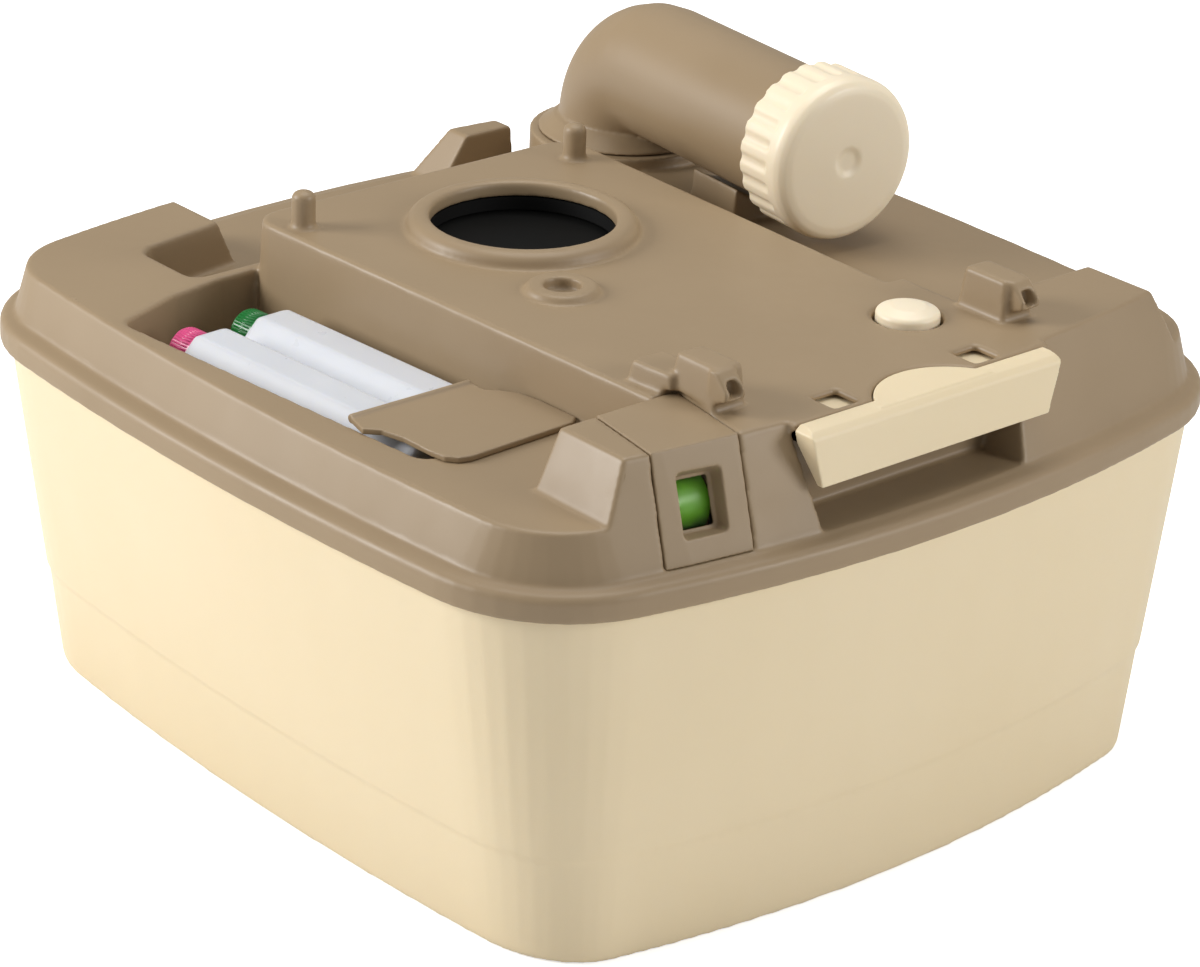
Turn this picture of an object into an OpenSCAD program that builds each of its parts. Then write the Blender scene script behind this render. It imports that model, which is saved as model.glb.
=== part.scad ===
// Waste-holding tank of a two-part portable toilet, shown without its upper flush tank.
// A tapered tub carries a moulded top with a sealed inlet under a slide valve, a swivelling
// emptying spout, a vent button, a float level indicator and a bay for two liquid bottles.
// Millimetres, +Z up, front towards -Y, origin at the middle of the floor.

/* [Outline] */
// Width over the rim
tank_w = 383; // [345:1:421]
// Depth over the rim
tank_d = 400; // [360:1:440]
// Radius of the two front corners
front_corner_r = 61; // [56:1:66]
// Radius of the two rear corners
rear_corner_r = 61; // [56:1:66]
// How far each side bulges
side_bulge = 5.7; // [4:0.1:8]
// How far the front and the rear bulge
end_bulge = 13.4; // [11:0.1:15]

/* [Heights and walls] */
// Height of the tub up to the rim's lower edge
tub_h = 145.6; // [130:0.1:165]
// Height of the rim band
rim_h = 10.9; // [9:0.1:12]
// Height of the deck above the rim's lower edge
deck_h = 29.8; // [27:0.1:33]
// Height of the plateau above the deck
plateau_h = 21.6; // [19:0.1:25]
// Wall of both mouldings
wall = 3; // [2.6:0.1:3.6]
// How far the walls above the rim lean in, per millimetre of height
wall_lean = 0.38; // [0.3:0.01:0.45]
// How far the corners of those walls sharpen, per millimetre of height
corner_lean = 0.27; // [0:0.01:0.35]
// Width of the ledge between the rim band and the walls
ledge_w = 8; // [6:0.1:9]

/* [Tub] */
// How far the tub stands in from the rim band
tub_in = 4.2; // [3.6:0.1:5]
// How far the sides of the tub taper in at the floor
taper_x = 25; // [16:0.5:28]
// How far the ends of the tub taper in at the floor
taper_y = 14; // [10:0.1:20]
// Height of the belt line
belt_z = 44.6; // [30:0.1:60]
// Step in at the belt line
belt_step = 0.9; // [0.5:0.1:1.5]
// Depth of the hollow under the floor
foot_h = 2; // [1.5:0.1:2.4]
// How far the tub's edge enters the rim
seat_h = 5; // [4:0.1:6]

/* [Plateau and inlet] */
// Radius of the inlet
inlet_r = 36.8; // [34:0.1:38]
// Height of the collar round the inlet
collar_h = 6; // [4.5:0.1:8]
// Width of the collar at its foot
collar_w = 9.5; // [8:0.1:11]
// Radius of a locating peg
peg_r = 4.8; // [4:0.1:5.4]
// Height of a locating peg
peg_h = 15.5; // [12:0.5:18]
// Radius of the plateau's rear corners
plateau_corner_r = 13; // [11:0.5:15]
// Angle that each side of the plateau closes in towards the front
plateau_taper = 2; // [1:0.1:3]
// Radius of the hole in the small boss
boss_hole_r = 7.3; // [5:0.1:8]
// Height of the small boss
boss_h = 3; // [2:0.1:4]

/* [Front block and grip] */
// How far the block's ends slope out, per millimetre of height
block_slope = 0.5; // [0.4:0.05:0.6]
// Width of the grip recess at its floor
grip_w = 101; // [94:1:104]
// Height of the posts above the plateau
post_h = 16; // [14:0.5:18]
// Width of a post
post_w = 16; // [14:0.5:18]
// Width of the catch on a post
catch_w = 9.6; // [8:0.1:10]

/* [Bottle bay] */
// Depth of the bay
bay_depth = 36; // [34:0.5:38]
// Room beside the bottles at the front of the bay
bottle_play = 7.6; // [6.6:0.1:9]
// Height of a bottle as it lies
bottle_h = 24; // [20:0.5:25]
// Room in front of the bottles
bottle_room = 16; // [12:0.5:20]
// Radius of a bottle cap
bottle_cap_r = 8.5; // [7:0.1:9]
// Length of a bottle cap
bottle_cap_len = 11; // [8:0.5:12]

/* [Slide valve] */
// Thickness of the blade
blade_t = 2.5; // [2:0.1:3]
// How far the blade covers past the inlet
blade_cover = 5; // [4:0.1:5.5]
// Running gap round the blade
blade_gap = 0.4; // [0.3:0.05:0.6]
// Width of the handle along its top
handle_w = 126; // [118:1:132]
// Height of the handle
handle_h = 21; // [18:0.5:22]
// Radius of the tongue behind the handle
tongue_r = 30.5; // [26:0.5:33]

/* [Vent button] */
// Radius of the vent button
vent_r = 12.3; // [11:0.1:13]
// Travel of the vent button
vent_travel = 5; // [3.5:0.1:6]
// Radius of the vent stem
vent_stem_r = 2.6; // [2:0.1:3]
// Radius of the spring's coils
spring_r = 6.5; // [5.5:0.1:8]
// Turns of the spring
spring_turns = 4; // [3:1:6]

/* [Level indicator] */
// Width of the indicator insert
bezel_w = 36.6; // [33:0.1:37]
// Turn of the insert, to face as the curved front does
bezel_turn = -10; // [-12:0.5:-8]
// Width of the window
window_w = 19; // [15:0.5:20]
// Height of the window
window_h = 24; // [19:0.5:25]
// Radius of the indicator drum
drum_r = 11; // [9:0.5:12]
// Length of the float's arm from its pin
float_len = 92; // [80:1:98]
// Radius of the float
float_r = 14; // [11:0.5:16]
// Angle of the float's arm below level with the tank empty
float_low = 66; // [60:1:68]

/* [Spout] */
// Turn of the stowed spout towards the inlet
spout_turn = 6.4; // [4:0.1:7]
// Reach of the tube from the swivel's axis
spout_reach = 151.5; // [140:0.5:153]
// Outer radius of the spout's tube
tube_r = 28.7; // [27:0.1:28.9]
// Wall of the spout's tube
tube_wall = 2.6; // [2.2:0.1:3.2]
// Radius of the elbow's bend
bend_r = 29.2; // [29:0.1:33]
// Outer radius of the cap
cap_r = 34.1; // [33.6:0.1:35]
// Length of the cap
cap_len = 28; // [24:0.5:32]
// Flutes round the cap
cap_flutes = 24; // [16:1:30]
// Room between the cap and the deck under it
cap_room = 5.1; // [2:0.1:7]
// Radius of the round boss under the spout
spout_boss_r = 41; // [39:0.1:42]
// Height of that boss above the deck
spout_boss_h = 5.6; // [4:0.1:7]

/* [Hidden] */

// Clearances
seat_gap = 0.3;
run_gap = 0.08;
through = 1;

// Colours
brown = [0.60, 0.52, 0.42];
cream = [0.93, 0.87, 0.75];
black = [0.06, 0.06, 0.06];
white = [0.90, 0.91, 0.92];
green = [0.24, 0.45, 0.12];

// Levels
deck_z = tub_h + deck_h;
plateau_z = deck_z + plateau_h;
crease_z = tub_h + rim_h;
seat_z = tub_h + seat_h;
ceiling_z = plateau_z - wall;
collar_z = plateau_z + collar_h;
foot_z = crease_z + 0.5;
shelf_z = foot_z + 0.4;

// Places along the depth and across it, each from the edge it keeps its distance to
left_x = -tank_w / 2;
front_y = -tank_d / 2;
rear_y = tank_d / 2;
inlet_x = -16;
inlet_y = rear_y - 172;
peg_dx = 69.5;
peg_y = rear_y - 121;
vent_x = inlet_x + 58.7;
vent_y = front_y + 72;
grip_x = inlet_x + 11;
grip_y = front_y + 31.3;
block_y = front_y + 69;
block_left = inlet_x - 114.6;
block_right = inlet_x + 154;
spout_x = inlet_x + 142;
spout_y = rear_y - 69.8;

// Outline of the tank as eight touching arcs, each [x, y, radius, first angle, last angle],
// with its corners sharpened by k
corner_steps = 9;
side_steps = 10;
function corners(k) =
    let (f = front_corner_r - k, b = rear_corner_r - k,
         fc = [tank_w / 2 - side_bulge - f, tank_d / 2 - end_bulge - f],
         bc = [tank_w / 2 - side_bulge - b, tank_d / 2 - end_bulge - b],
         ft = 2 * atan(end_bulge / fc.x), bt = 2 * atan(end_bulge / bc.x),
         st = 2 * atan(side_bulge / ((fc.y + bc.y) / 2)))
    [[fc.x, -fc.y, f, -90 + ft, -st], [bc.x, bc.y, b, st, 90 - bt],
     [-bc.x, bc.y, b, 90 + bt, 180 - st], [-fc.x, -fc.y, f, 180 + st, 270 - ft]];
function on_arc(c, a) = [c[0] + c[2] * cos(a), c[1] + c[2] * sin(a)];
function side_arc(c, d) =
    let (p = on_arc(c, c[4]), q = on_arc(d, d[3]), last = d[3] < c[4] ? d[3] + 360 : d[3],
         half = (last - c[4]) / 2, mid = (last + c[4]) / 2, r = norm(q - p) / 2 / sin(half),
         m = (p + q) / 2 - r * cos(half) * [cos(mid), sin(mid)])
    [m.x, m.y, r, c[4], last];
function arcs(k) = let (c = corners(k)) [for (i = [0:3]) each [c[i], side_arc(c[i], c[(i + 1) % 4])]];
function outline(dx, dy, k = 0) =
    let (all = arcs(k))
    [for (j = [0:7]) let (c = all[j], is_side = j % 2, n = is_side ? side_steps : corner_steps)
     for (i = [is_side:n - is_side]) let (a = c[3] + (c[4] - c[3]) * i / n)
         [c[0] + (c[2] - dx) * cos(a), c[1] + (c[2] - dy) * sin(a)]];

// Convex plan shapes: drawn in by t, and with their corners rounded
function unit(v) = v / norm(v);
function edge_out(a, b) = let (d = unit(b - a)) [d.y, -d.x];
function mitre(p, i) =
    let (n = len(p), u = edge_out(p[(i + n - 1) % n], p[i]), v = edge_out(p[i], p[(i + 1) % n]))
    (u + v) / (1 + u * v);
function drawn_in(p, t) = [for (i = [0:len(p) - 1]) p[i] - t * mitre(p, i)];
function rounded(p, r, steps = 5) =
    [for (i = [0:len(p) - 1])
     let (n = len(p), u = edge_out(p[(i + n - 1) % n], p[i]), v = edge_out(p[i], p[(i + 1) % n]),
          a = atan2(u.y, u.x), b = atan2(v.y, v.x), last = b < a ? b + 360 : b,
          ri = is_list(r) ? r[i] : r, c = p[i] - ri * mitre(p, i))
     for (k = [0:steps]) c + ri * [for (f = [0, 1]) f ? sin(a + (last - a) * k / steps)
                                                    : cos(a + (last - a) * k / steps)]];

// Skin through rings of equal point counts, each [points, height]
module loft(rings) {
    n = len(rings[0][0]);
    m = len(rings);
    polyhedron(
        points = [for (r = rings) for (p = r[0]) [p.x, p.y, r[1]]],
        faces = [[for (i = [0:n - 1]) i],
                 for (k = [0:m - 2]) for (i = [0:n - 1])
                     let (a = k * n + i, b = k * n + (i + 1) % n) each [[a, a + n, b + n], [a, b + n, b]],
                 [for (i = [n - 1:-1:0]) (m - 1) * n + i]]);
}

// Well with sloping walls: p is its mouth's plan, grow makes the mould's other side of it
module well(p, r, floor_z, mouth_z, draft = 0.09, grow = 0) {
    drop = draft * (mouth_z - floor_z);
    loft([[rounded(drawn_in(p, drop - grow), max(r - drop, 1) + grow), floor_z - grow],
          [rounded(drawn_in(p, -grow), r + grow), mouth_z],
          [rounded(drawn_in(p, -grow), r + grow), plateau_z + post_h + grow]]);
}

module box(low, high) {
    translate(low) cube(high - low);
}

module rod_y(x, z, r, y0, y1, fn = 64) {
    translate([x, y0, z]) rotate([-90, 0, 0]) cylinder(h = y1 - y0, r = r, $fn = fn);
}

// Tub
function tub_dx(z) = tub_in + (taper_x - tub_in) * (1 - z / tub_h);
function tub_dy(z) = tub_in + (taper_y - tub_in) * (1 - z / tub_h);
function tub_ring(z, t) = [outline(tub_dx(z) + t, tub_dy(z) + t), z];
function level(ring, z) = [ring[0], z];
module tank_base() {
    edge = 1.6;
    foot_w = 16;
    rib_w = 8;
    color(cream) difference() {
        loft([level(tub_ring(0, edge), 0), tub_ring(edge * 0.3, edge * 0.3 + belt_step), tub_ring(edge, belt_step),
              tub_ring(belt_z - 0.5, belt_step), tub_ring(belt_z + 0.5, 0), tub_ring(tub_h, 0),
              level(tub_ring(tub_h, 0), seat_z)]);
        loft([tub_ring(wall + foot_h, edge + wall), tub_ring(wall + foot_h + edge, belt_step + wall),
              tub_ring(belt_z, belt_step + wall), tub_ring(tub_h, wall),
              level(tub_ring(tub_h, wall), seat_z + through)]);
        difference() {
            loft([level(tub_ring(0, edge + foot_w), -through), level(tub_ring(0, edge + foot_w + foot_h), foot_h)]);
            for (x = [-1, 0, 1]) box([x * tank_w / 5 - rib_w / 2, -tank_d / 2, -2 * through],
                                     [x * tank_w / 5 + rib_w / 2, tank_d / 2, foot_h + through]);
        }
    }
}

// Forms of the top, as an outside (t = 0) and as the inside of its wall (t = wall)
wall_in = wall * sqrt(1 + wall_lean * wall_lean);
foot_sharp = 5;
function lean_in(z) = ledge_w + wall_lean * (z - foot_z);
function sharp(z) = foot_sharp + corner_lean * (z - foot_z);
function wall_ring(z, t = 0) = [outline(lean_in(z) + t, lean_in(z) + t, sharp(z)), z];
module rim_and_walls(t) {
    if (t == 0) {
        loft([[outline(0.6, 0.6), tub_h], [outline(0, 0), tub_h + 0.8], [outline(0, 0), crease_z - 3],
              [outline(0.8, 0.8), crease_z - 1.5], [outline(2.3, 2.3), crease_z - 0.5],
              wall_ring(foot_z), wall_ring(plateau_z)]);
    } else {
        skirt = tub_in - seat_gap;
        ledge = tub_in + wall + seat_gap;
        loft([[outline(skirt, skirt), tub_h - through], [outline(skirt, skirt), seat_z],
              [outline(ledge, ledge), seat_z], wall_ring(foot_z, wall_in), wall_ring(ceiling_z, wall_in)]);
    }
}

module block_space(t) {
    top = plateau_z + through;
    low = deck_z - 2 * wall;
    left = block_left + t;
    right = block_right - t;
    rotate([90, 0, 0]) translate([0, 0, -block_y + t]) linear_extrude(tank_d / 2) polygon([
        [left - block_slope * (plateau_z - low), low], [right + block_slope * (plateau_z - low), low],
        [right - block_slope * through, top], [left + block_slope * through, top]]);
}

module above_deck(t) {
    difference() {
        box([-tank_w, -tank_d, deck_z - t], [tank_w, tank_d, plateau_z + 2 * through]);
        block_space(t);
    }
}

// Plateau: its sides close in towards the front
plateau_left = 79.3;
plateau_right = 84.1;
side_slope = tan(plateau_taper);
function plateau_side(y) = inlet_x - plateau_left - (y - peg_y) * side_slope;
function plateau_edge(y) = inlet_x + plateau_right + (y - peg_y) * side_slope;
plateau_front = block_y - 6;
plateau_rear = peg_y + 22.5;
plateau_plan = [[plateau_side(plateau_front), plateau_front], [plateau_edge(plateau_front), plateau_front],
                [plateau_edge(plateau_rear), plateau_rear], [plateau_side(plateau_rear), plateau_rear]];
plateau_round = [1.5, 1.5, plateau_corner_r, plateau_corner_r];
module plateau(t) {
    base_z = deck_z - bay_depth - wall;
    low_out = 0.05 * (plateau_z - base_z);
    function ring(d, z) = [rounded(drawn_in(plateau_plan, d + t), [for (r = plateau_round) max(r - d - t, 0.5)]), z];
    if (t == 0) loft([ring(-low_out, base_z), ring(0, plateau_z - 1.5), ring(0.4, plateau_z - 0.4),
                      ring(1.3, plateau_z)]);
    else loft([ring(-low_out, base_z), ring(0, ceiling_z)]);
}

// Step in the plateau's right edge, beside the vent button
jog_x = vent_x + 26.8;
jog_y = vent_y + 30;
module jog(t) {
    box([vent_x - vent_r, block_y - 6, deck_z - 2 * wall], [jog_x - t, jog_y - t, plateau_z - t]);
}

// Bottle bay between the tank's left side and the plateau's
bay_rear = rear_y - 118;
bay_front = front_y + 112;
bay_floor = deck_z - bay_depth;
bay_draft = 0.07;
function bay_side(y) = left_x + 22.3 + (bay_rear - y) * 0.0757;
bay_plan = [[bay_side(bay_front), bay_front], [plateau_side(bay_front) + 8, bay_front],
            [plateau_side(bay_rear) + 8, bay_rear + 16.3], [left_x + 79.5, bay_rear + 16.3],
            [left_x + 55.5, bay_rear + 12.5], [bay_side(bay_rear), bay_rear]];
bay_round = 7;
bay_mid = (plateau_side(0) + bay_side(0)) / 2;
bay_turn = atan((bay_side(0) + plateau_side(0) - bay_side(1) - plateau_side(1)) / 2);
module in_bay(x = 0) {
    translate([bay_mid, 0, 0]) rotate([0, 0, bay_turn]) translate([x, 0, 0]) children();
}
bottle_w = (plateau_side(bay_front) - bay_side(bay_front) - bottle_play) / 2;
bottle_top = deck_z - 0.6;
bottle_low = bottle_top - bottle_h;
bottle_rear = bay_rear - 20;
bottle_len = bottle_rear - bay_front - bottle_room;
module bay_shell() {
    intersection() {
        well(bay_plan, bay_round, bay_floor, deck_z, bay_draft, wall);
        box([-tank_w, -tank_d, bay_floor - 2 * wall], [tank_w, tank_d, deck_z - 1]);
    }
}
bay_rib_half = bottle_w - 2;
module bay_ribs() {
    for (y = [bottle_rear - 17, bottle_rear - 86]) in_bay()
        box([-bay_rib_half, y, bay_floor - wall / 2], [bay_rib_half, y + wall, bottle_low - seat_gap]);
}

// Shelf behind the plateau, a pocket in the rear left block, and an upstand at the rear edge
shelf_left = inlet_x - 54;
shelf_right = spout_x - 9;
shelf_slope = 0.35;
pocket_plan = [[left_x + 70.7, rear_y - 96.1], [inlet_x - 44, rear_y - 96.1], [inlet_x - 44, rear_y - 47.3],
               [left_x + 77.1, rear_y - 57.1], [left_x + 70.7, rear_y - 62]];
pocket_round = 6;
pocket_draft = 0.25;
module shelf(t) {
    top = plateau_z + post_h;
    rise = shelf_slope * (top - shelf_z);
    translate([0, tank_d, 0]) rotate([90, 0, 0]) linear_extrude(tank_d - plateau_rear + 8 + t) polygon([
        [shelf_left - t, shelf_z - t], [shelf_right + t, shelf_z - t],
        [shelf_right + t + rise, top], [shelf_left - t - rise, top]]);
}
upstand_top = deck_z + 2.6;
upstand_x = inlet_x + 85;
module upstand(t) {
    low = shelf_z - 2 * wall;
    high = upstand_top - t;
    intersection() {
        rim_and_walls(t);
        translate([0, tank_d, 0]) rotate([90, 0, 0]) linear_extrude(tank_d - rear_y + 32 - t) polygon([
            [upstand_x - 18 + t, low], [upstand_x + 27 - t, low], [upstand_x + 25 - t, high - 2],
            [upstand_x + 23.5 - t, high], [upstand_x + t, high]]);
    }
}

// Saddle on the deck under the spout's tube
saddle_gap = 1.6;
module at_spout() {
    translate([spout_x, spout_y, 0]) rotate([0, 0, -spout_turn]) children();
}
module saddle() {
    at_spout() difference() {
        translate([0, -77, 0]) rotate([90, 0, 0]) linear_extrude(31) polygon([
            [-20, deck_z - 1], [15, deck_z - 1], [13.5, tube_z - tube_r - 0.9], [0, tube_z - tube_r - 0.9],
            [-17, tube_z - tube_r + 6], [-18.5, tube_z - tube_r + 5]]);
        rod_y(0, tube_z, tube_r + saddle_gap, -110, -75, 96);
    }
}

// Spout's round boss
boss_top = deck_z + spout_boss_h;
module spout_boss(t) {
    low = shelf_z - 2 * wall;
    translate([spout_x, spout_y, low]) cylinder(h = boss_top - t - low, r = spout_boss_r - t, $fn = 96);
}

// Grip recess in the front, and the lip of the top plate over it
grip_floor = foot_z + 0.6;
grip_slope = 0.16;
lip_y = front_y + 21.8;
tongue_x = inlet_x + 17.5;
tongue_y = front_y + 34.7;
module grip(t) {
    top = t == 0 ? ceiling_z : plateau_z + 2 * through;
    half = grip_w / 2 + t;
    out = grip_slope * (top - grip_floor);
    rotate([90, 0, 0]) translate([grip_x, 0, -grip_y - t]) linear_extrude(tank_d / 2) polygon([
        [-half, grip_floor - t], [half, grip_floor - t], [half + out, top], [-half - out, top]]);
}
module lip() {
    half = grip_w / 2 + grip_slope * (ceiling_z - grip_floor);
    box([grip_x - half - through, lip_y, ceiling_z], [grip_x + half + 16, grip_y + wall, plateau_z]);
}

// Posts at the front corners of the plateau, each with a slanted square catch
post_front = front_y + 45;
post_top = plateau_z + post_h;
left_post_x = inlet_x - 64;
right_post_x = inlet_x + 82;
module post(x, lean) {
    plan = [[x, post_front], [x + post_w, post_front], [x + post_w, block_y + 1], [x, block_y + 1]];
    function ring(d, z, dx) = [[for (p = rounded(drawn_in(plan, d), 1.5, 3)) p + [dx, 0]], z];
    loft([ring(-0.5, plateau_z - 1.5, 0), ring(0, plateau_z, 0), ring(1.5, post_top - 1, lean),
          ring(2.4, post_top, lean)]);
}
catch_hole = 5.6;
module catch(x) {
    edge = (catch_w - catch_hole) / 2;
    difference() {
        rotate([90, 0, 90]) translate([0, 0, x]) linear_extrude(catch_w) polygon([
            [post_front + 4, post_top - 0.4], [post_front + 0.5, post_top - 0.4], [post_front - 5.5, post_top - 6.4],
            [post_front - 5.5, post_top - 10], [post_front + 4, post_top - 14]]);
        box([x + edge, post_front - 7, post_top - 4 - catch_hole], [x + edge + catch_hole, post_front + 1, post_top - 4]);
    }
}
module tooth() {
    rear = block_y + 18.5;
    front = block_y - 4;
    plan = [[inlet_x - 66.5, front], [inlet_x - 50, front], [inlet_x - 50, rear], [inlet_x - 68.3, rear]];
    loft([[rounded(drawn_in(plan, -0.3), 1.5, 3), plateau_z - 1.5], [rounded(drawn_in(plan, 1), 1.5, 3), plateau_z + 7.5],
          [rounded(drawn_in(plan, 1.8), 1.5, 3), plateau_z + 8.2]]);
}

// Round features of the plateau
module collar() {
    foot = inlet_r + collar_w;
    translate([inlet_x, inlet_y, 0]) rotate_extrude($fn = 96) polygon([
        [inlet_r - 2, plateau_z - 1], [foot, plateau_z - 1], [foot, plateau_z + 0.4], [foot - 0.6, plateau_z + 0.5 * collar_h],
        [foot - 1.6, plateau_z + 0.75 * collar_h], [foot - 3.2, plateau_z + 0.93 * collar_h], [foot - 4.8, collar_z],
        [inlet_r + 1.8, collar_z], [inlet_r + 0.5, collar_z - 0.5], [inlet_r, collar_z - 1.6], [inlet_r - 2, collar_z - 1.6]]);
}
module peg(x) {
    tip = peg_r * 0.62;
    top = plateau_z + peg_h;
    translate([x, peg_y, 0]) rotate_extrude($fn = 48) polygon([
        [0, plateau_z - 1], [peg_r + 0.9, plateau_z - 1], [peg_r + 0.9, plateau_z + 0.3],
        [peg_r, plateau_z + 1.4], [peg_r, top - tip], for (a = [20:20:80])
        [peg_r * cos(a), top - tip + tip * sin(a)], [0, top]]);
}
boss_x = inlet_x - 31;
boss_y = inlet_y - 61;
boss_r = boss_hole_r + 7.4;
boss_floor = ceiling_z + 1.2;
module small_boss() {
    translate([boss_x, boss_y, 0]) rotate_extrude($fn = 64) polygon([
        [0, plateau_z - 1], [boss_r, plateau_z - 1], [boss_r, plateau_z + 0.4], [boss_r - 0.8, plateau_z + 0.8 * boss_h],
        [boss_r - 2, plateau_z + boss_h], [0, plateau_z + boss_h]]);
}

// Vent's cup, hung under the plateau
cup_r = vent_r + 1.2;
cup_wall = 1.8;
cup_floor = plateau_z - vent_travel - 6;
cup_under = cup_floor - 2.2;
module at_vent(z = 0) {
    translate([vent_x, vent_y, z]) children();
}

// Slide valve's levels and widths
blade_half = inlet_r + blade_cover;
blade_top = ceiling_z - 3 - blade_gap;
blade_low = blade_top - blade_t;
blade_rear = inlet_y + blade_half;
seal_r = inlet_r + 3;
seal_top = ceiling_z + 2.4;
guide_wall = 3.4;
tray_clear = 3.4;
guide_half = blade_half + blade_gap + guide_wall;
guide_front = grip_y + wall + 8.5;
window_dx = 35.6;
window_half = 6.3;
window_front = front_y + 24.6;
yoke_half = window_dx + 9;

// Front opening for the indicator's insert
bezel_c = [inlet_x - 82.4, front_y + 50];
bezel_low = foot_z + 0.8;
function reach(b, d, c, r) = let (o = b - c, k = o * d) -k + sqrt(k * k - (o * o - r * r));
bezel_way = [sin(bezel_turn), -cos(bezel_turn)];
module at_bezel() {
    translate([bezel_c.x, bezel_c.y, 0]) rotate([0, 0, bezel_turn]) children();
}
module bezel_space(g, low = bezel_low) {
    at_bezel() box([-bezel_w / 2 - g, -60, low - g], [bezel_w / 2 + g, 60, plateau_z + 2 * through]);
}
module bezel_form(t, low) {
    intersection() {
        rim_and_walls(t);
        box([-tank_w, -tank_d, low], [tank_w, block_y - t, plateau_z + 2 * through]);
        bezel_space(-t, low + t);
    }
}

// Tank top
module outside() {
    difference() {
        union() {
            rim_and_walls(0);
            bay_shell();
        }
        above_deck(0);
        well(bay_plan, bay_round, bay_floor, deck_z, bay_draft);
        well(pocket_plan, pocket_round, shelf_z, deck_z, pocket_draft);
        shelf(0);
    }
    intersection() {
        plateau(0);
        union() {
            box([-tank_w, -tank_d, shelf_z - 2 * wall], [tank_w, tank_d, plateau_z + wall]);
            bay_shell();
        }
    }
    jog(0);
    spout_boss(0);
    lip();
    upstand(0);
}
module inside() {
    difference() {
        rim_and_walls(wall);
        above_deck(wall);
        well(bay_plan, bay_round, bay_floor, deck_z, bay_draft, wall);
        well(pocket_plan, pocket_round, shelf_z, deck_z, pocket_draft, wall);
        shelf(wall);
        grip(wall);
    }
    difference() {
        union() {
            plateau(wall);
            jog(wall);
        }
        grip(wall);
    }
    spout_boss(wall);
    upstand(wall);
}
module tank_top() {
    neck_hole = neck_r + run_gap;
    difference() {
        union() {
            difference() {
                outside();
                inside();
                grip(0);
            }
            bay_ribs();
            saddle();
            post(left_post_x, 0.6);
            post(right_post_x, 0);
            catch(left_post_x + 0.8);
            catch(right_post_x + 4);
            tooth();
            collar();
            peg(inlet_x - peg_dx);
            peg(inlet_x + peg_dx);
            small_boss();
            at_vent(cup_under) cylinder(h = plateau_z - 1 - cup_under, r = cup_r + cup_wall, $fn = 64);
        }
        translate([inlet_x, inlet_y, ceiling_z - 1]) cylinder(h = wall + collar_h + 2, r = inlet_r, $fn = 96);
        translate([inlet_x, inlet_y, ceiling_z - 1])
            cylinder(h = seal_top + seat_gap - ceiling_z + 1, r = seal_r + seat_gap, $fn = 96);
        translate([boss_x, boss_y, boss_floor]) cylinder(h = wall + boss_h + 1, r = boss_hole_r, $fn = 64);
        at_vent(cup_floor) cylinder(h = plateau_z - cup_floor + 1, r = cup_r, $fn = 64);
        at_vent(cup_under - 1) cylinder(h = 4, r = vent_stem_r + run_gap, $fn = 48);
        translate([spout_x, spout_y, boss_top - wall - 1]) cylinder(h = wall + 2, r = neck_hole, $fn = 96);
        for (x = [-1, 1]) box([tongue_x + x * window_dx - window_half, window_front, ceiling_z - 1],
                              [tongue_x + x * window_dx + window_half, window_front + 2 * window_half, plateau_z + 1]);
        translate([tongue_x, tongue_y - tongue_r, ceiling_z - 1]) cylinder(h = wall + 2, r = tongue_r + 0.4, $fn = 96);
        box([inlet_x - blade_half - blade_gap, grip_y - 1, blade_low - blade_gap],
            [tongue_x + yoke_half + blade_gap, grip_y + wall + 1, ceiling_z]);
        intersection() {
            bezel_space(seat_gap);
            box([-tank_w, -tank_d, 0], [tank_w, block_y + seat_gap, plateau_z + 2 * through]);
        }
    }
}

// The top is one moulding: five nodes carry it, cut where no other face lies
cut_front = vent_y + 20;
cut_rear = rear_y - 88;
cut_left = 5;
cut_right = inlet_x + 89.5;
far = tank_w;
left_line = [[plateau_side(cut_front) - cut_left, cut_front], [plateau_side(cut_rear) - cut_left, cut_rear]];
right_line = [[cut_right, cut_front], [cut_right, cut_rear], [spout_x - 46, spout_y + 20],
              [spout_x - 29, spout_y + 36], [spout_x - 29, far]];
module top_part(plan) {
    color(brown) intersection() {
        tank_top();
        translate([0, 0, tub_h - tank_w / 2]) linear_extrude(tank_w) polygon(plan);
    }
}
module top_front() {
    top_part([[-far, -far], [far, -far], [far, cut_front], [-far, cut_front]]);
}
module top_left() {
    top_part([[-far, cut_front], left_line[0], left_line[1], [-far, cut_rear]]);
}
module top_middle() {
    top_part([left_line[0], right_line[0], right_line[1], left_line[1]]);
}
module top_right() {
    top_part([[far, cut_front], [far, far], for (i = [4:-1:0]) right_line[i]]);
}
module top_rear() {
    top_part([[-far, cut_rear], for (i = [1:4]) right_line[i], [-far, far]]);
}

// Seal under the inlet
module inlet_seal() {
    flange = blade_half;
    color(black) translate([inlet_x, inlet_y, 0]) rotate_extrude($fn = 96) polygon([
        [inlet_r + 0.4, ceiling_z - 3], [flange, ceiling_z - 3], [flange, ceiling_z], [seal_r, ceiling_z],
        [seal_r, seal_top], [inlet_r + 0.4, seal_top]]);
}

// Tray that carries the blade, fixed under the plateau
module blade_guide() {
    low = blade_low - blade_gap - 3;
    rear = blade_rear + blade_gap + guide_wall;
    color(black) difference() {
        translate([inlet_x, 0, 0]) box([-guide_half, guide_front, low], [guide_half, rear, ceiling_z]);
        translate([inlet_x, 0, 0]) box([-blade_half - blade_gap, guide_front - 1, blade_low - blade_gap],
                                       [blade_half + blade_gap, blade_rear + blade_gap, ceiling_z + 1]);
        translate([inlet_x, inlet_y, low - 1]) cylinder(h = 5, r = inlet_r + tray_clear, $fn = 96);
        at_vent(low - 1) cylinder(h = 20, r = cup_r + cup_wall + seat_gap, $fn = 64);
        for (y = [1:3]) translate([inlet_x, guide_front + 20 + 26 * y, 0])
            box([-blade_half + 8, -8, low - 1], [blade_half - 8, 8, low + 4]);
    }
}

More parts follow.
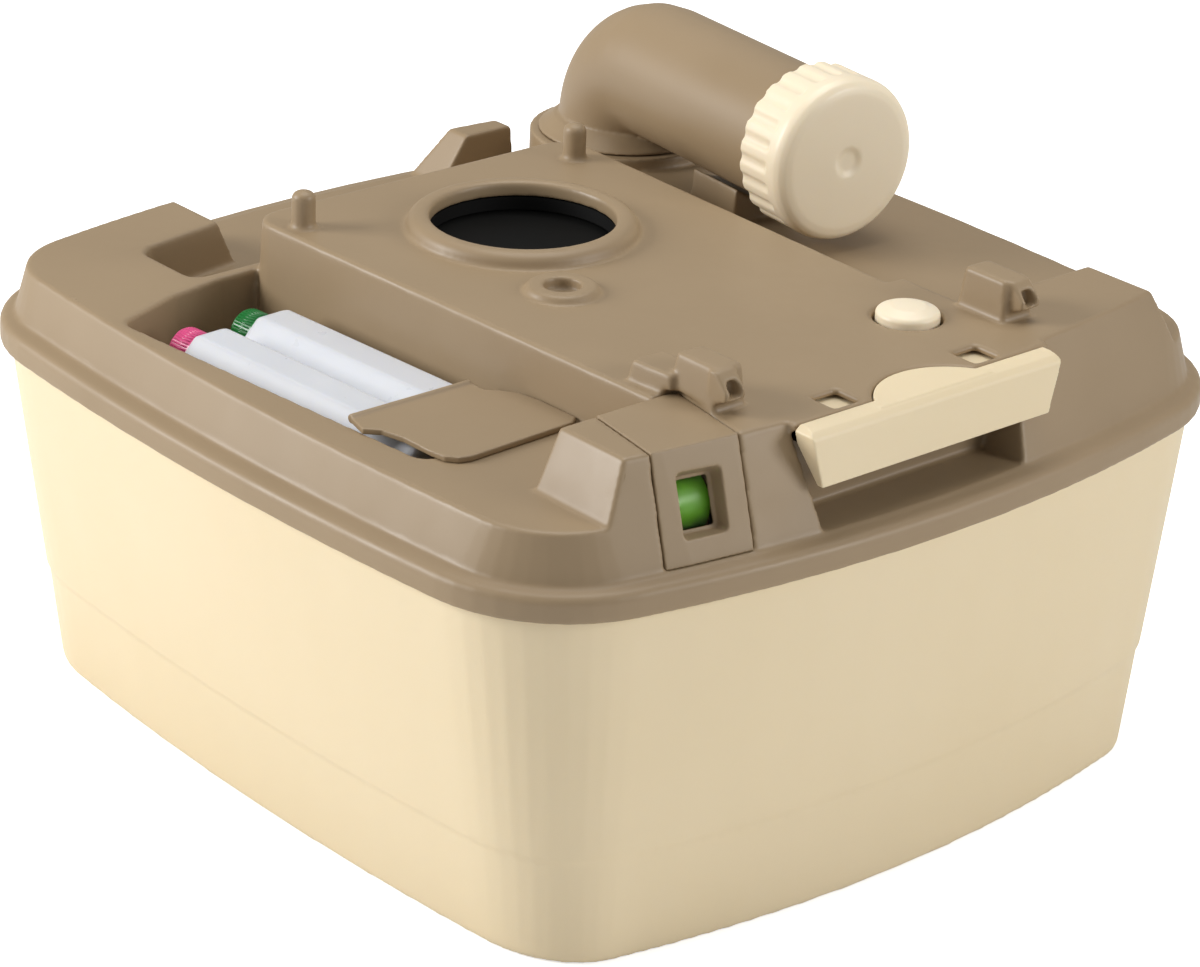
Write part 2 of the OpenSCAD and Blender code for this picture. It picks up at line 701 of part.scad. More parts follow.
module valve_blade() {
    front = lip_y - 5;
    color(black) difference() {
        translate([inlet_x, 0, blade_low]) linear_extrude(blade_t)
            polygon(rounded([[-blade_half, front], [blade_half, front],
                             [blade_half, blade_rear], [-blade_half, blade_rear]], [2, 2, 12, 12]));
        for (x = [-1, 1]) translate([inlet_x + x * blade_half / 2, guide_front + 6, blade_low - 1])
            cylinder(h = blade_t + 2, r = 3.5, $fn = 32);
    }
}

// Handle: a wedge across the front, the tongue behind it and the yoke on the blade
handle_back = lip_y - 0.7;
module valve_handle() {
    top_half = handle_w / 2;
    low_half = top_half - 5.5;
    low = plateau_z - handle_h - 1;
    color(cream) difference() {
        union() {
            intersection() {
                rotate([90, 0, 90]) translate([0, 0, -tank_w / 2]) linear_extrude(tank_w) polygon([
                    [handle_back, plateau_z], [handle_back - 3.5, plateau_z], [handle_back - 7, plateau_z - 0.7],
                    [handle_back - 9.2, plateau_z - 2.2], [handle_back - 9.8, plateau_z - 3.4],
                    [handle_back - 10.4, low], [handle_back - 7.4, low], [handle_back, low + 15]]);
                rotate([90, 0, 0]) linear_extrude(tank_d / 2) polygon([
                    [-low_half, low], [low_half, low], [top_half, plateau_z - 2], [top_half - 0.6, plateau_z],
                    [-top_half + 2.4, plateau_z], [-top_half, plateau_z - 2]]);
            }
            intersection() {
                translate([tongue_x, tongue_y - tongue_r, ceiling_z + 0.2])
                    cylinder(h = wall - 0.2, r = tongue_r, $fn = 96);
                box([-tank_w / 2, handle_back - 6, ceiling_z], [tank_w / 2, 0, plateau_z]);
            }
            box([tongue_x - yoke_half, handle_back - 5, blade_top],
                [tongue_x + yoke_half, guide_front - 0.6, ceiling_z - 0.6]);
            box([tongue_x - 12, handle_back - 5, ceiling_z - 1], [tongue_x + 12, tongue_y - 4, ceiling_z + 1]);
        }
        translate([inlet_x, 0, 0]) box([-blade_half - seat_gap, lip_y - 5 - seat_gap, blade_low - seat_gap],
                                       [blade_half + seat_gap, 0, blade_top]);
    }
}

// Vent: button, spring, stem and washer on one axis
crown_under = plateau_z + 1;
module vent_button() {
    dome = 3.4;
    color(cream) at_vent() rotate_extrude($fn = 64) polygon([
        [vent_stem_r + 0.1, crown_under], [vent_r - 2, crown_under], [vent_r - 2, plateau_z - 4],
        [vent_r, plateau_z - 4], [vent_r, plateau_z + 1.4], for (a = [15:15:75])
        [vent_r * (0.86 + 0.14 * cos(a)) - 0.5 * sin(a), plateau_z + 1.4 + 1.8 * sin(a)],
        [vent_r * 0.55, plateau_z + 1.6 + 0.86 * dome], [vent_r * 0.25, plateau_z + 1.4 + dome],
        [0, plateau_z + 1.5 + dome],
        [0, crown_under + 1.2], [vent_stem_r + 0.1, crown_under + 1.2]]);
}
module vent_spring() {
    wire = 0.6;
    low = cup_floor + wire + 0.05;
    high = crown_under - wire - 0.05;
    steps = 10;
    sides = 6;
    n = spring_turns * steps;
    function at(k) = let (a = k * 360 / steps) [spring_r * cos(a), spring_r * sin(a), low + (high - low) * k / n];
    function ring(k) = let (a = k * 360 / steps, c = at(k))
        [for (j = [0:sides - 1]) let (b = j * 360 / sides) c + wire * [cos(b) * cos(a), cos(b) * sin(a), sin(b)]];
    color("silver") at_vent() polyhedron(
        points = [for (k = [0:n]) each ring(k)],
        faces = [[for (j = [0:sides - 1]) j],
                 for (k = [0:n - 1]) for (j = [0:sides - 1])
                     let (a = k * sides + j, b = k * sides + (j + 1) % sides)
                         each [[a, a + sides, b + sides], [a, b + sides, b]],
                 [for (j = [sides - 1:-1:0]) n * sides + j]]);
}
washer_t = 2.4;
module vent_stem() {
    head = 2;
    low = cup_under - seat_gap - washer_t - head;
    color(cream) at_vent() {
        translate([0, 0, low]) cylinder(h = crown_under + 1.2 - low, r = vent_stem_r, $fn = 48);
        translate([0, 0, low]) cylinder(h = head, r = vent_stem_r + 3, $fn = 48);
    }
}
module vent_washer() {
    color(black) at_vent(cup_under - seat_gap - washer_t) difference() {
        cylinder(h = washer_t, r = vent_stem_r + 6, $fn = 48);
        translate([0, 0, -1]) cylinder(h = washer_t + 2, r = vent_stem_r + 0.05, $fn = 48);
    }
}

// Level indicator: insert with its window, lens, drum, float and pin
lean = atan(wall_lean);
window_z = bezel_low + 19.5;
window_arc = arcs(sharp(window_z))[7];
window_deep = 6;
window_y = -reach(bezel_c, bezel_way, [window_arc[0], window_arc[1]], window_arc[2] - lean_in(window_z));
lens_t = 1.6;
module at_window() {
    at_bezel() translate([0, window_y, window_z]) rotate([90 - lean, 0, 0]) children();
}
module frustum(w, h, z0, z1, slope) {
    function face(d) = [[-w / 2 + d, -h / 2 + d], [w / 2 - d, -h / 2 + d],
                        [w / 2 - d, h / 2 - d], [-w / 2 + d, h / 2 - d]];
    loft([[rounded(face(-slope * z0), 2, 3), z0], [rounded(face(-slope * z1), 2, 3), z1]]);
}
pin_r = 1.5;
pin_depth = window_deep + lens_t + 1.8 + drum_r;
pin_y = window_y + pin_depth * cos(lean);
pin_z = window_z - pin_depth * sin(lean);
ear_x = 9;
ear_t = 2.4;
module pane(edge, low, high) {
    box([-window_w / 2 + edge, -window_h / 2 + edge, low], [window_w / 2 - edge, window_h / 2 - edge, high]);
}
module indicator_bezel() {
    color(brown) difference() {
        union() {
            difference() {
                bezel_form(0, bezel_low);
                bezel_form(wall, bezel_low - 4 * wall);
            }
            intersection() {
                bezel_form(0, bezel_low);
                at_window() frustum(window_w + 4, window_h + 4, -window_deep - lens_t - 1.4, 10, 0.15);
            }
            intersection() {
                bezel_form(0, bezel_low);
                at_bezel() for (x = [-ear_x - ear_t, ear_x])
                    box([x, pin_y - 6, bezel_low], [x + ear_t, pin_y + 6, plateau_z - 1]);
            }
        }
        at_window() frustum(window_w, window_h, -window_deep, 10, 0.3);
        at_window() pane(1, -window_deep - lens_t - 6, -window_deep - 0.8);
        at_window() pane(3.2, -window_deep - 2, -window_deep + 2);
        at_bezel() translate([-ear_x - 2 * ear_t, pin_y, pin_z]) rotate([0, 90, 0])
            cylinder(h = 2 * ear_x + 4 * ear_t, r = pin_r + 0.05, $fn = 32);
    }
}
module indicator_lens() {
    color([0.8, 0.9, 0.85, 0.5]) at_window() pane(1.3, -window_deep - 0.8 - lens_t, -window_deep - 0.85);
}
module at_pin() {
    at_bezel() translate([0, pin_y, pin_z]) children();
}
module indicator_flag() {
    half = ear_x - 1;
    color(green) at_pin() rotate([0, 90, 0]) translate([0, 0, -half]) difference() {
        cylinder(h = 2 * half, r = drum_r, $fn = 64);
        translate([0, 0, -1]) cylinder(h = 2 * half + 2, r = pin_r + run_gap, $fn = 32);
        for (z = [-1, half + 1.5]) translate([0, 0, z]) difference() {
            cylinder(h = half - 0.5, r = drum_r - 1.6, $fn = 64);
            cylinder(h = half, r = pin_r + 2, $fn = 32);
        }
    }
}
module float_arm() {
    bar = 5;
    color(white) at_pin() rotate([-float_low, 0, 0]) difference() {
        box([-bar / 2, 0, -bar / 2], [bar / 2, float_len, bar / 2]);
        rotate([0, 90, 0]) translate([0, 0, -bar]) cylinder(h = 2 * bar, r = drum_r + 0.05, $fn = 64);
        translate([-bar, float_len, 0]) rotate([0, 90, 0]) cylinder(h = 2 * bar, r = float_r + 0.05, $fn = 64);
    }
}
module float_bulb() {
    half = 12;
    color(white) at_pin() rotate([-float_low, 0, 0]) translate([0, float_len, 0]) rotate([0, 90, 0])
        rotate_extrude($fn = 64) polygon([[0, -half], [float_r - 3, -half], [float_r - 0.9, -half + 0.9], [float_r, -half + 3],
                 [float_r, half - 3], [float_r - 0.9, half - 0.9], [float_r - 3, half], [0, half]]);
}
module pivot_pin() {
    color("silver") at_pin() rotate([0, 90, 0]) translate([0, 0, -ear_x - ear_t - 1])
        cylinder(h = 2 * (ear_x + ear_t + 1), r = pin_r, $fn = 32);
}

// Spout: elbow on its swivel neck, retaining ring, seal ring, cap and gasket
tube_z = deck_z + cap_room + cap_r;
bend_z = tube_z - bend_r;
neck_r = tube_r + 0.9;
neck_low = boss_top - wall - 6;
bore_r = tube_r - tube_wall;
oring_z = boss_top - wall / 2;
mouth_r = tube_r + 1.6;
skirt_r = spout_boss_r - 3.5;
skirt_z = boss_top + seat_gap;
ring_top = boss_top - wall - seat_gap;
module bend(r) {
    translate([0, -bend_r, bend_z]) rotate([90, 0, 90])
        rotate_extrude(angle = 90, $fn = 96) translate([bend_r, 0]) circle(r = r, $fn = 64);
}
module groove(r, low, high) {
    rotate_extrude($fn = 96) polygon([[r, low], [neck_r + 1, low], [neck_r + 1, high], [r, high]]);
}
module spout_elbow() {
    color(brown) at_spout() difference() {
        union() {
            bend(tube_r);
            rod_y(0, tube_z, tube_r, -spout_reach, -bend_r);
            rod_y(0, tube_z, mouth_r, -spout_reach, -spout_reach + cap_len * 0.6);
            rotate_extrude($fn = 96) polygon([
                [0, neck_low], [neck_r, neck_low], [neck_r, skirt_z], [skirt_r, skirt_z], [skirt_r, skirt_z + 1],
                [skirt_r - 2.5, skirt_z + 2.5], [tube_r + 1.5, bend_z + 2.5], [tube_r - 0.5, bend_z + 2.5],
                [tube_r - 0.5, bend_z], [0, bend_z]]);
        }
        bend(bore_r);
        rod_y(0, tube_z, bore_r, -spout_reach - 1, -bend_r);
        translate([0, 0, neck_low - 1]) cylinder(h = bend_z - neck_low + 1, r = bore_r, $fn = 64);
        groove(neck_r - 1.9, oring_z - 1.1, oring_z + 1.1);
        groove(neck_r - 0.9, ring_top - 3.2, ring_top + 0.1);
    }
}
module spout_ring() {
    color(black) at_spout() translate([0, 0, ring_top - 3]) difference() {
        cylinder(h = 3, r = neck_r + 5, $fn = 96);
        translate([0, 0, -1]) cylinder(h = 5, r = neck_r - 0.8, $fn = 96);
    }
}
module spout_oring() {
    color(black) at_spout() translate([0, 0, oring_z]) rotate_extrude($fn = 96)
        translate([neck_r - 0.95, 0]) circle(r = 0.9, $fn = 24);
}
gasket_t = 2;
cap_face = 3.2;
cap_front = -spout_reach - gasket_t - 0.2 - cap_face;
module spout_cap() {
    inner = mouth_r + 0.5;
    dimple = 1.2;
    flute_r = 3.6;
    color(cream) at_spout() difference() {
        translate([0, cap_front, tube_z]) rotate([-90, 0, 0]) rotate_extrude($fn = 96) polygon([
            [0, dimple], [4, dimple], [6.5, 0], [cap_r - 6, 0], [cap_r - 3, 0.8], [cap_r - 1, 2.6], [cap_r, 5.2],
            [cap_r, cap_len], [inner, cap_len], [inner, cap_face], [0, cap_face]]);
        for (i = [0:cap_flutes - 1]) translate([0, 0, tube_z]) rotate([0, i * 360 / cap_flutes, 0])
            rod_y(0, cap_r + flute_r - 1.1, flute_r, cap_front + cap_len * 0.36, cap_front + cap_len + 1, 24);
    }
}
module cap_gasket() {
    rear = cap_front + cap_face + gasket_t;
    color(black) at_spout() rod_y(0, tube_z, mouth_r - 0.5, rear - gasket_t + 0.1, rear, 96);
}

// Bottles lying in the bay, necks to the rear
bottle_dx = bottle_w / 2 + 0.45;
neck_len = 6;
bottle_neck_r = bottle_cap_r - 2;
module bottle(x) {
    cut = bottle_h / 3;
    hw = bottle_w / 2;
    hh = bottle_h / 2;
    plan = [[-hw, -hh + cut], [-hw + cut, -hh], [hw - cut, -hh], [hw, -hh + cut],
            [hw, hh - cut], [hw - cut, hh], [-hw + cut, hh], [-hw, hh - cut]];
    function ring(d, z) = [rounded(drawn_in(plan, d), 1.5, 2), z];
    color(white) in_bay(x) translate([0, bottle_rear, bottle_top - hh]) rotate([-90, 0, 0]) union() {
        loft([ring(2.5, -bottle_len), ring(0.7, -bottle_len + 1), ring(0, -bottle_len + 3), ring(0, -6),
              ring(1.2, -3), ring(4.5, 0)]);
        translate([0, 0, -1]) cylinder(h = neck_len + 1, r = bottle_neck_r, $fn = 32);
    }
}
module bottle_cap(x, tint) {
    color(tint) in_bay(x) translate([0, bottle_rear + 0.2, bottle_top - bottle_h / 2]) rotate([-90, 0, 0])
        difference() {
            cylinder(h = bottle_cap_len, r = bottle_cap_r, $fn = 48);
            translate([0, 0, -1]) cylinder(h = neck_len + 1.2, r = bottle_neck_r + run_gap, $fn = 32);
        }
}
module bottle_a() {
    bottle(-bottle_dx);
}
module bottle_b() {
    bottle(bottle_dx);
}
module bottle_cap_a() {
    bottle_cap(-bottle_dx, [0.84, 0.30, 0.51]);
}
module bottle_cap_b() {
    bottle_cap(bottle_dx, [0.0, 0.43, 0.16]);
}

// Clip over the bottles' feet: a cover with a rounded lip that the bottles tip on
clip_y = bay_front + 42;
clip_t = 2.4;
lip_r = 1.8;
lip_z = bottle_top + lip_r + seat_gap;
module bottle_clip() {
    foot = bay_front + 1.2 + bay_draft * 9;
    left = bay_side(bay_front);
    right = plateau_side(bay_front) - 0.05 * (plateau_z - deck_z) - seat_gap;
    plan = [[left - 1, clip_y], [left - 4, bay_front + 31], [left + 1, bay_front + 26], [left + 3.4, bay_front + 16],
            [left + 3.6, bay_front + 2], [left + 4.7, bay_front - 5.5], [left + 8, bay_front - 9.6],
            [left + 13, bay_front - 11], [right - 4, bay_front - 9], [right, bay_front - 6], [right - 0.6, bay_front + 14],
            [right - 2.6, bay_front + 24], [right - 7, bay_front + 30], [right - 11, bay_front + 33.5], [right - 11, clip_y]];
    color(brown) {
        translate([0, 0, deck_z]) linear_extrude(clip_t) polygon(plan);
        translate([left - 1, clip_y, lip_z]) rotate([0, 90, 0]) cylinder(h = right - left - 10, r = lip_r, $fn = 32);
        for (x = [0.3, 0.7]) translate([left + x * (right - left), 0, 0])
            box([-4, foot, deck_z - 9], [4, foot + 2.4, deck_z + 1]);
    }
}

tank_base();
top_front();
top_left();
top_middle();
top_right();
top_rear();
inlet_seal();
blade_guide();
valve_blade();
valve_handle();
vent_button();
vent_spring();
vent_stem();
vent_washer();
indicator_bezel();
indicator_lens();
indicator_flag();
float_arm();
float_bulb();
pivot_pin();
spout_elbow();
spout_ring();
spout_oring();
spout_cap();
cap_gasket();
bottle_a();
bottle_b();
bottle_cap_a();
bottle_cap_b();
bottle_clip();
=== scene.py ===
"""Looks of a portable toilet's waste tank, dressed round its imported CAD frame."""
import logging
import math
from dataclasses import dataclass, field
from enum import Enum
from typing import Sequence

import bmesh
import bpy
from mathutils import Matrix, Vector


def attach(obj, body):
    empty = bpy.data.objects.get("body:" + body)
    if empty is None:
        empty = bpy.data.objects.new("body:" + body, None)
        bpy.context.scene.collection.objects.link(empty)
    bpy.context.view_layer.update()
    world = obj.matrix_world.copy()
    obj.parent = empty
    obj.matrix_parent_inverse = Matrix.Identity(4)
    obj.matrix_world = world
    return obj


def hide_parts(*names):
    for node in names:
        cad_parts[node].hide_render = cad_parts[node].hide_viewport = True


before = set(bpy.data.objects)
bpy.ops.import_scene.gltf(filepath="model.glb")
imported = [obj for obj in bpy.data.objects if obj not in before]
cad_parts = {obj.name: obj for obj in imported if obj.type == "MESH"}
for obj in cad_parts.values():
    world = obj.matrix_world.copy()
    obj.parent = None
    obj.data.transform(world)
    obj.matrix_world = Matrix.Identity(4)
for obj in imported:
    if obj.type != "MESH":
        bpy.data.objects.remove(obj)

LOG = logging.getLogger("waste_tank")
MM = 0.001
PLAIN_WHITE = (1, 1, 1, 1)


def linear(colour: str) -> tuple[float, float, float, float]:
    """Turns an sRGB hex colour into linear RGBA.

    Args:
        colour: Six hex digits, with or without a leading hash.

    Returns:
        The linear red, green, blue and an alpha of 1.
    """
    digits = colour.lstrip("#")
    parts = [int(digits[i:i + 2], 16) / 255 for i in (0, 2, 4)]
    made = [c / 12.92 if c <= 0.04045 else ((c + 0.055) / 1.055) ** 2.4 for c in parts]
    return (made[0], made[1], made[2], 1.0)


def add_node(tree: bpy.types.NodeTree, kind: str, inputs: dict[int | str, object] | None = None,
             **settings: object) -> bpy.types.Node:
    """Adds a node, sets its properties, and fills or links its inputs.

    Args:
        tree: The node tree that gets it.
        kind: The node's type name.
        inputs: Input name or index to a value, or to an output socket to link.
        settings: Properties of the node itself.

    Returns:
        The new node.
    """
    node = tree.nodes.new(kind)
    for name, value in settings.items():
        setattr(node, name, value)
    for key, value in (inputs or {}).items():
        socket = node.inputs[key]
        if isinstance(value, bpy.types.NodeSocket):
            tree.links.new(value, socket)
        else:
            socket.default_value = value
    return node


def fresh_tree(owner: bpy.types.Material | bpy.types.World) -> bpy.types.NodeTree:
    """Turns on the nodes of a material or world and empties its tree."""
    owner.use_nodes = True
    owner.node_tree.nodes.clear()
    return owner.node_tree


def noise(tree: bpy.types.NodeTree, per_metre: float, detail: float,
          roughness: float = 0.5) -> bpy.types.NodeSocket:
    """Adds a noise that is fixed to the piece.

    Args:
        tree: The node tree that gets it.
        per_metre: How many of its patches go in a metre.
        detail: How many finer layers it has.
        roughness: Weight of those finer layers.

    Returns:
        The socket with its value.
    """
    where = add_node(tree, "ShaderNodeTexCoord").outputs["Object"]
    return add_node(tree, "ShaderNodeTexNoise", {
        "Vector": where, "Scale": per_metre, "Detail": detail, "Roughness": roughness}).outputs[0]


def spread(tree: bpy.types.NodeTree, value: bpy.types.NodeSocket, low: float, high: float,
           start: float = 0.0, end: float = 1.0) -> bpy.types.NodeSocket:
    """Maps a value that goes from start to end onto low to high, and gives the socket."""
    return add_node(tree, "ShaderNodeMapRange", {
        0: value, 1: start, 2: end, 3: low, 4: high}).outputs[0]


@dataclass(frozen=True)
class Look:
    """A material that is built when a piece first asks for it.

    Args:
        name: The material's name.
    """

    name: str

    def shader(self, tree: bpy.types.NodeTree) -> bpy.types.Node:
        """Builds the surface shader, which each kind of material has of its own."""
        raise NotImplementedError

    def material(self) -> bpy.types.Material:
        """Builds the node material, or returns it if it is there already."""
        made = bpy.data.materials.get(self.name)
        if made is None:
            made = bpy.data.materials.new(self.name)
            tree = fresh_tree(made)
            add_node(tree, "ShaderNodeOutputMaterial", {0: self.shader(tree).outputs[0]})
        return made


@dataclass(frozen=True)
class Moulded(Look):
    """A moulded plastic: its colour, sheen, grain and the slow changes of tone in a big moulding.

    Args:
        colour: Its colour, sRGB hex.
        shade: The slightly deeper tone it drifts to, sRGB hex.
        rough: Mean roughness.
        grain_mm: Width of the mould's grain.
        grain_depth_mm: Depth of that grain.
        drift_mm: Size of the patches where the tone drifts.
        soften: Share of light that spreads under the surface.
        coat: Share of a thin glossy skin.
        gleam: Strength of the mirror-like part, 0.5 for plain plastic.
    """

    colour: str
    shade: str
    rough: float = 0.45
    grain_mm: float = 1.1
    grain_depth_mm: float = 0.02
    drift_mm: float = 90.0
    soften: float = 0.0
    coat: float = 0.0
    gleam: float = 0.5

    refraction = 1.5
    # Light of each colour spreads this far under the surface, times the share that spreads.
    spread_rgb = (1.0, 0.8, 0.5)
    spread_mm = 2.5
    coat_rough = 0.12
    bump_strength = 0.5
    # Handling makes patches smoother and rougher than the mean; they are smaller than the drift's.
    wear_size = 0.35
    smoother = 0.05
    rougher = 0.06
    wear_start = 0.3
    wear_end = 0.7

    def shader(self, tree: bpy.types.NodeTree) -> bpy.types.Node:
        """Builds the plastic: drifting tone, patchy roughness and a fine grain."""
        drift = noise(tree, 1 / (self.drift_mm * MM), detail=3.0)
        tone = add_node(tree, "ShaderNodeMix", {
            0: drift, 6: linear(self.colour), 7: linear(self.shade)}, data_type="RGBA")
        grain = noise(tree, 1 / (self.grain_mm * MM), detail=2.0, roughness=0.55)
        bump = add_node(tree, "ShaderNodeBump", {
            "Height": grain, "Strength": self.bump_strength, "Distance": self.grain_depth_mm * MM})
        wear = noise(tree, 1 / (self.drift_mm * self.wear_size * MM), detail=4.0)
        rough = spread(tree, wear, self.rough - self.smoother, self.rough + self.rougher,
                       self.wear_start, self.wear_end)
        return add_node(tree, "ShaderNodeBsdfPrincipled", {
            "Base Color": tone.outputs[2], "Roughness": rough, "Normal": bump.outputs[0],
            "IOR": self.refraction, "Subsurface Weight": self.soften,
            "Subsurface Radius": self.spread_rgb, "Subsurface Scale": self.spread_mm * MM,
            "Coat Weight": self.coat, "Coat Roughness": self.coat_rough,
            "Specular IOR Level": self.gleam})


@dataclass(frozen=True)
class Drawn(Look):
    """Drawn stainless steel wire and pin stock, with faint fine marks."""

    name: str = "stainless_steel_drawn"
    colour: str = "b9babb"

    marks_per_metre = 2500.0

    def shader(self, tree: bpy.types.NodeTree) -> bpy.types.Node:
        """Builds the steel."""
        marks = noise(tree, self.marks_per_metre, detail=2.0)
        return add_node(tree, "ShaderNodeBsdfPrincipled", {
            "Base Color": linear(self.colour), "Metallic": 1.0,
            "Roughness": spread(tree, marks, 0.22, 0.38)})


@dataclass(frozen=True)
class Clear(Look):
    """Clear moulded window that shows the drum behind it; its low index keeps reflections off."""

    name: str = "styrene_clear_window"
    colour: str = "fbfdfa"

    haze_per_metre = 300.0
    refraction = 1.12

    def shader(self, tree: bpy.types.NodeTree) -> bpy.types.Node:
        """Builds the window, with a faint uneven haze."""
        haze = noise(tree, self.haze_per_metre, detail=3.0)
        return add_node(tree, "ShaderNodeBsdfPrincipled", {
            "Base Color": linear(self.colour), "Roughness": spread(tree, haze, 0.02, 0.08),
            "IOR": self.refraction, "Transmission Weight": 1.0})


class Finish(Enum):
    """The finishes of the tank's pieces, each named for the real material."""

    # Satin injection-moulded polyethylene: soft wide highlights and a fine even grain.
    BROWN = Moulded("polyethylene_taupe_satin", "9e886a", "937e61")
    CREAM = Moulded("polyethylene_cream_satin", "ead9b8", "e3d0aa", soften=0.12, drift_mm=140.0)
    # The cap and the button are the same plastic from a smoother mould. Their colour is painted
    # light: a lighter copy of the cream that stands for the bright light on the cap's face.
    CREAM_SMOOTH_PAINTED_LIGHT = Moulded("polyethylene_cream_smooth_painted_light", "f3e5cb", "eedfc2", rough=0.36, soften=0.2)
    # Black polypropylene, plain moulded: nearly lost in the dark inside.
    BLACK = Moulded("polypropylene_black_moulded", "040403", "060605", rough=0.6, gleam=0.12)
    # Nitrile rubber, compression moulded: dull.
    RUBBER = Moulded("nitrile_rubber_black", "060605", "090808", rough=0.7, grain_depth_mm=0.03,
                     gleam=0.2)
    GREEN = Moulded("styrene_green_gloss", "6aa62a", "568f1f", rough=0.3)
    WHITE = Moulded("polypropylene_white_moulded", "dfe0e0", "d6d8d8", rough=0.45)
    # Blown white polyethylene bottles: smooth, a little translucent, faintly cool.
    BOTTLE = Moulded("polyethylene_white_blown", "d4d6da", "ccced3", rough=0.32, soften=0.25,
                     drift_mm=30.0)
    PINK = Moulded("polypropylene_pink_gloss", "d64d83", "c94378", rough=0.3, coat=0.2)
    DARK_GREEN = Moulded("polypropylene_green_gloss", "006e28", "006423", rough=0.3, coat=0.2)
    STEEL = Drawn()
    WINDOW = Clear()


def put_material(piece: bpy.types.Object, finish: Finish) -> None:
    """Gives every slot of a piece one finish."""
    made = finish.value.material()
    if not piece.material_slots:
        piece.data.materials.append(made)
    for slot in piece.material_slots:
        slot.material = made


def settle(piece: bpy.types.Object, finish: Finish, body: str) -> bpy.types.Object:
    """Finishes a made piece: smooth shading all over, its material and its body."""
    piece.data.polygons.foreach_set("use_smooth", [True] * len(piece.data.polygons))
    piece.data.update()
    put_material(piece, finish)
    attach(piece, body)
    LOG.info("%s: %d faces", piece.name, len(piece.data.polygons))
    return piece


def with_modifiers(piece: bpy.types.Object) -> None:
    """Turns a piece's live modifiers into its mesh."""
    bpy.context.view_layer.update()
    graph = bpy.context.evaluated_depsgraph_get()
    made = bpy.data.meshes.new_from_object(piece.evaluated_get(graph))
    piece.modifiers.clear()
    piece.data = made


@dataclass(frozen=True)
class Seam:
    """An upright plane that parts one moulding into CAD nodes.

    Args:
        start: One end of its trace on the floor, in mm.
        end: The other end.
    """

    start: tuple[float, float]
    end: tuple[float, float]

    near = 1e-5

    def holds(self, points: Sequence[Vector]) -> bool:
        """Tells whether every point is as near the plane as 0.01 mm."""
        a, b = Vector(self.start) * MM, Vector(self.end) * MM
        along = (b - a).normalized()
        return all(abs(along.cross(p.xy - a)) < self.near for p in points)


@dataclass
class SoftenedCopy:
    """A moulding with softened edges, made from a merged copy of its CAD solids.

    Args:
        nodes: The CAD nodes it stands for, parts of one moulding.
        body: The CAD body it rides on.
        slot: The record's material slot; not used.
        finish: Its finish.
        voxel_mm: Grid size of the remesh, which rounds edges to about its own size.
        passes: Smoothing passes after the remesh.
        most: Most triangles that are kept.
        seams: The planes that part those nodes, whose faces are left out.
    """

    nodes: tuple[str, ...]
    body: str
    slot: str
    finish: Finish
    voxel_mm: float = 0.8
    passes: int = 6
    most: int = 150000
    seams: tuple[Seam, ...] = ()

    # Points as near as 0.004 mm are one, and each pass moves a point half way to its neighbours.
    weld = 4e-6
    pull = 0.5

    def merged(self) -> bpy.types.Mesh:
        """Joins copies of the nodes, without the faces on their seams."""
        work = bmesh.new()
        for node in self.nodes:
            work.from_mesh(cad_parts[node].data)
        inner = [face for face in work.faces
                 if any(seam.holds([v.co for v in face.verts]) for seam in self.seams)]
        bmesh.ops.delete(work, geom=inner, context="FACES_ONLY")
        bmesh.ops.remove_doubles(work, verts=work.verts, dist=self.weld)
        mesh = bpy.data.meshes.new(self.nodes[0] + "_merged")
        work.to_mesh(mesh)
        work.free()
        return mesh

    def build(self) -> bpy.types.Object:
        """Remeshes, smooths and thins the merged copy, then dresses it."""
        piece = bpy.data.objects.new(self.nodes[0] + "_moulding", self.merged())
        bpy.context.scene.collection.objects.link(piece)
        remesh = piece.modifiers.new("remesh", "REMESH")
        remesh.mode = "VOXEL"
        remesh.voxel_size = self.voxel_mm * MM
        smooth = piece.modifiers.new("smooth", "SMOOTH")
        smooth.factor = self.pull
        smooth.iterations = self.passes
        with_modifiers(piece)
        triangles = sum(len(p.vertices) - 2 for p in piece.data.polygons)
        if triangles > self.most:
            thin = piece.modifiers.new("thin", "DECIMATE")
            thin.ratio = self.most / triangles
            with_modifiers(piece)
        settle(piece, self.finish, self.body)
        for node in self.nodes:
            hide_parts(node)
        return piece


